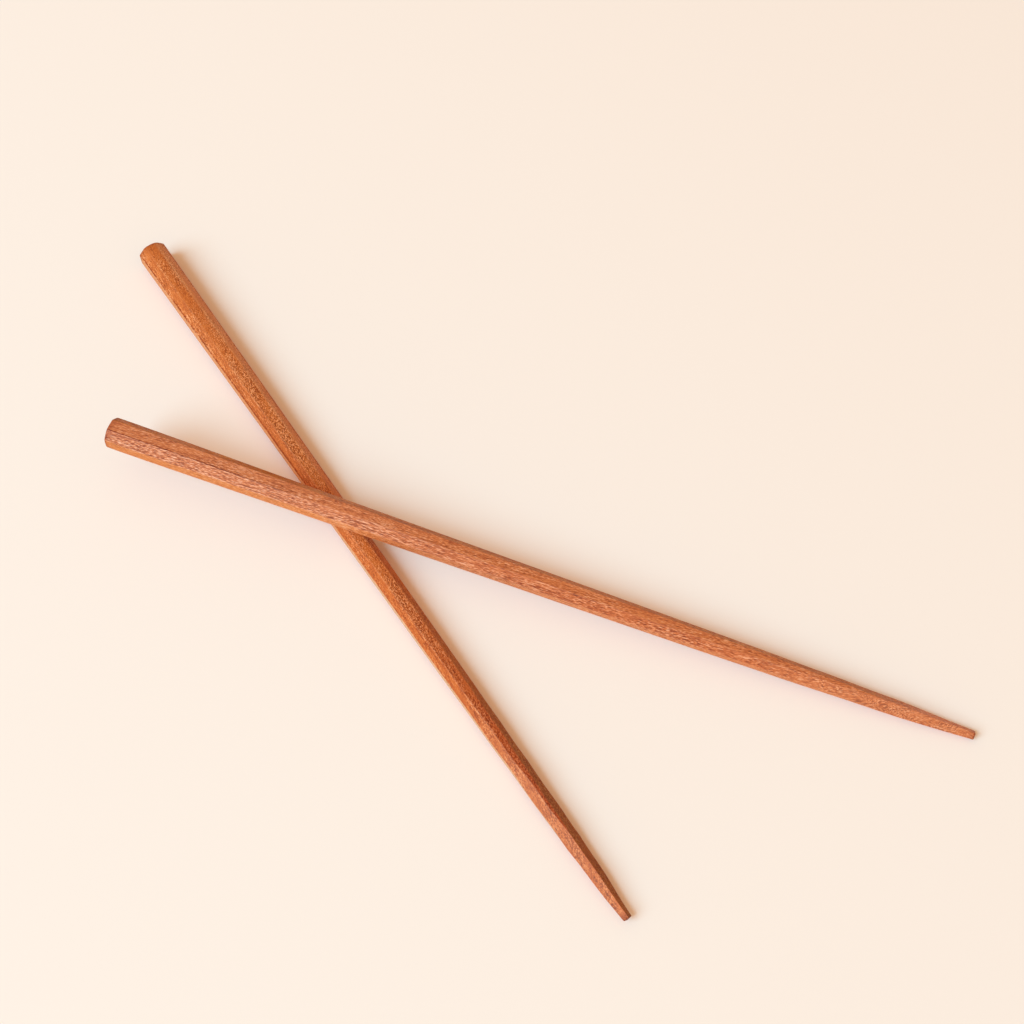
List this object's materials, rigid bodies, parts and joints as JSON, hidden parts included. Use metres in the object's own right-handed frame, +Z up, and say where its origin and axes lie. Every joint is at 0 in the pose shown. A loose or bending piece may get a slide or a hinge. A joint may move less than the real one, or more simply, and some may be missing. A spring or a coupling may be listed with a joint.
{
  "type": "pair of wooden chopsticks",
  "caption": "Pair of plain wooden chopsticks lying crossed, faceted at the butt and planed to a fine square tip, for eating and serving food.",
  "frame": {"origin": "on the surface that the pair lies on, in the lower chopstick's resting facet, under the place where the two cross", "axes": "+X along the lower chopstick from its butt to its tip, +Z up, +Y to the side on which the upper chopstick's tip lies"},
  "size_m": [0.2466, 0.1409, 0.0171],
  "materials": {
    "lower_wood": "planed hardwood, rubbed with oil to a soft sheen, orange brown",
    "upper_wood": "planed hardwood, rubbed with oil to a soft sheen, pinkish brown"
  },
  "bodies": {
    "root": {"lower_chopstick": "lower_wood", "upper_chopstick": "upper_wood"}
  },
  "joints": []
}
